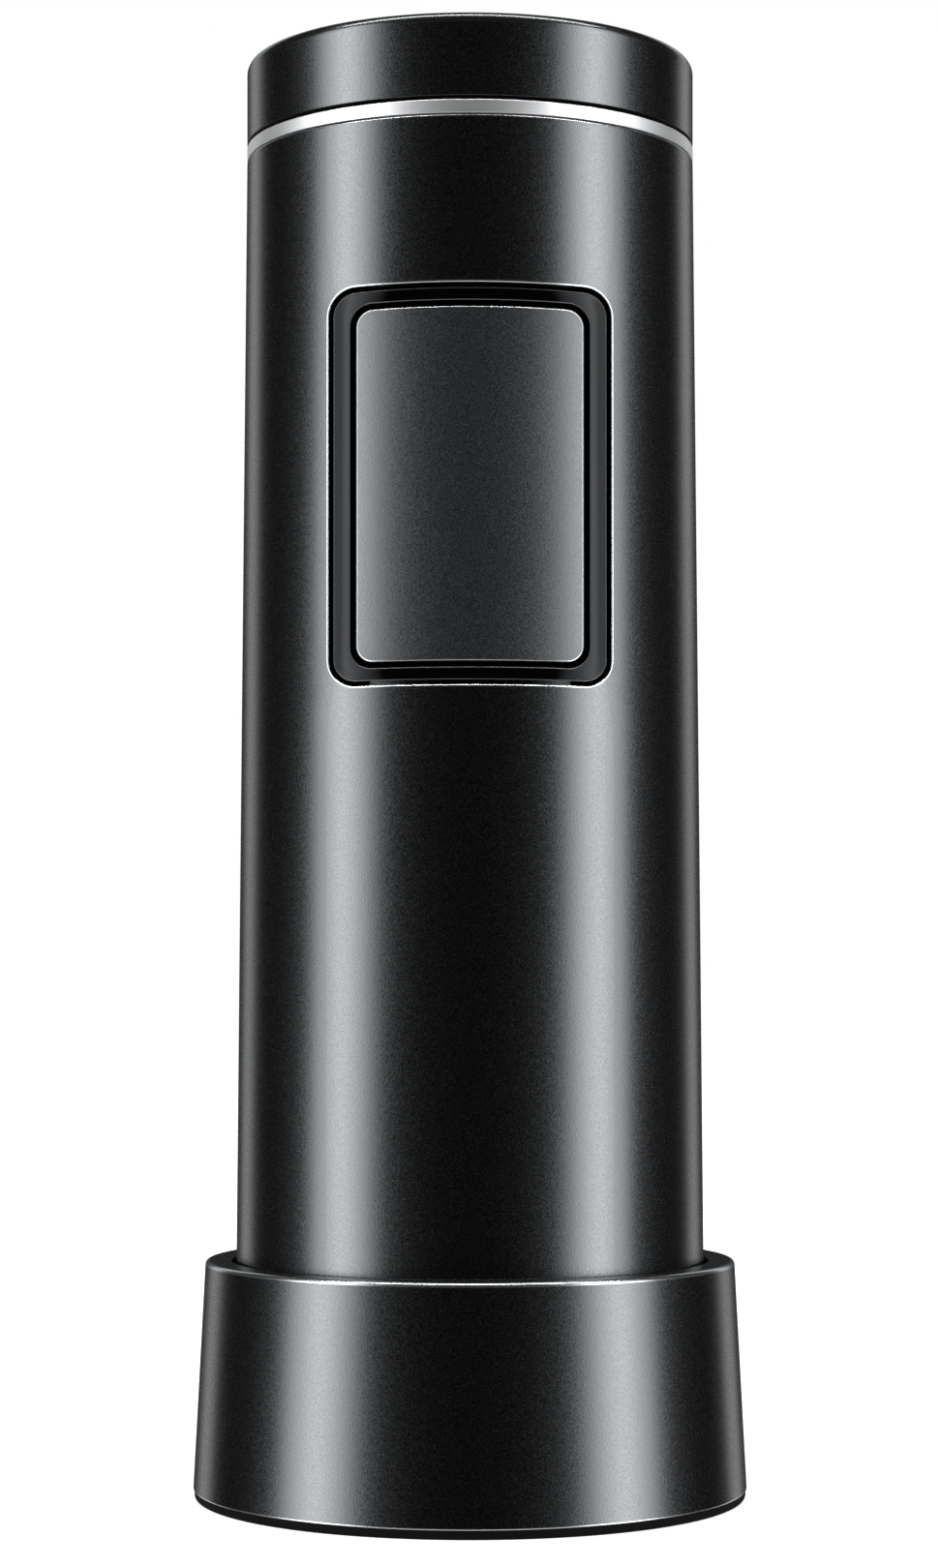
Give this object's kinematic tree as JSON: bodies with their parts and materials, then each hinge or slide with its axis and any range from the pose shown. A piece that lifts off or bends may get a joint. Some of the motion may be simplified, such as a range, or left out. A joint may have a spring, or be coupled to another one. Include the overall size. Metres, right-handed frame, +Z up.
{
  "type": "portable colorimeter",
  "caption": "Handheld colour meter: tapered black barrel with a display window, silver ring and push-button cap, standing nose down in its calibration base.",
  "frame": {"origin": "centre of the base's underside, on the surface it stands on", "axes": "+Z up along the barrel's axis, -Y towards the side with the display window, +X to the right of a person facing the display"},
  "size_m": [0.0384, 0.0384, 0.0994],
  "materials": {
    "black_aluminium": "bead-blasted and black anodised, satin",
    "polished_ring": "polished bright metal",
    "steel": "plain steel",
    "gold_pin": "gold-plated pins",
    "rubber": "matte black rubber and foam",
    "black_plastic": "moulded matte black",
    "bezel_gloss": "glossy black",
    "window_satin": "dark smoked satin cover",
    "clear_glass": "clear optical glass and acrylic",
    "filter_glass": "pale blue-green filter glass",
    "panel_dark": "dark display panel",
    "diffuser_white": "white diffuser",
    "white_ceramic": "fired white reference ceramic",
    "board_green": "green circuit board",
    "chip_black": "moulded chip packages",
    "lamp_lens": "small lamp packages",
    "cable_amber": "amber flat cable",
    "socket_ivory": "ivory connector plastic",
    "cell_wrap": "blue shrink sleeve",
    "lead_red": "insulated leads"
  },
  "bodies": {
    "calibration_base": {"base_shell": "black_aluminium", "base_foot_pad": "rubber", "base_plate": "steel", "base_liner": "black_plastic", "base_screws": "steel", "tile_cushion": "rubber", "calibration_tile": "white_ceramic", "grip_ring": "rubber"},
    "instrument": {"barrel": "black_aluminium", "trim_ring": "polished_ring", "head_screws": "steel", "sensor_screws": "steel", "board_screws": "steel", "deck_screws": "steel", "port_shell": "steel", "radio_module": "steel", "lamp_pins": "gold_pin", "nose_seal": "rubber", "window_gasket": "rubber", "battery_pad": "rubber", "nose_plate": "black_plastic", "aperture_ring": "black_plastic", "head_housing": "black_plastic", "head_cover": "black_plastic", "detector_tube": "black_plastic", "inner_frame": "black_plastic", "display_carrier": "black_plastic", "switch_deck": "black_plastic", "port_tongue": "black_plastic", "sensor_spacers": "black_plastic", "window_bezel": "bezel_gloss", "window_pane": "window_satin", "aperture_glass": "clear_glass", "detector_lens": "clear_glass", "light_guide": "clear_glass", "infrared_filter": "filter_glass", "display_panel": "panel_dark", "display_backlight": "diffuser_white", "main_board": "board_green", "sensor_board": "board_green", "lamp_board": "board_green", "port_board": "board_green", "switch_board": "board_green", "board_chips": "chip_black", "colour_sensor": "chip_black", "board_passives": "chip_black", "tact_switch": "chip_black", "lamps": "lamp_lens", "display_ribbon": "cable_amber", "sensor_ribbon": "cable_amber", "switch_ribbon": "cable_amber", "port_ribbon": "cable_amber", "ribbon_sockets": "socket_ivory", "battery_socket": "socket_ivory", "battery_cell": "cell_wrap", "battery_leads": "lead_red"},
    "measuring_button": {"button_cap": "black_aluminium", "button_core": "black_plastic", "switch_plunger": "socket_ivory"}
  },
  "joints": [
    {"name": "instrument_lift", "type": "slide", "parent": "calibration_base", "child": "instrument", "axis": [0, 0, 1], "range_m": [0, 0.02]},
    {"name": "button_press", "type": "slide", "parent": "instrument", "child": "measuring_button", "axis": [0, 0, -1], "range_m": [0, 0.0002], "stiffness_N_per_m": 4000, "springref_m": -0.0003}
  ]
}
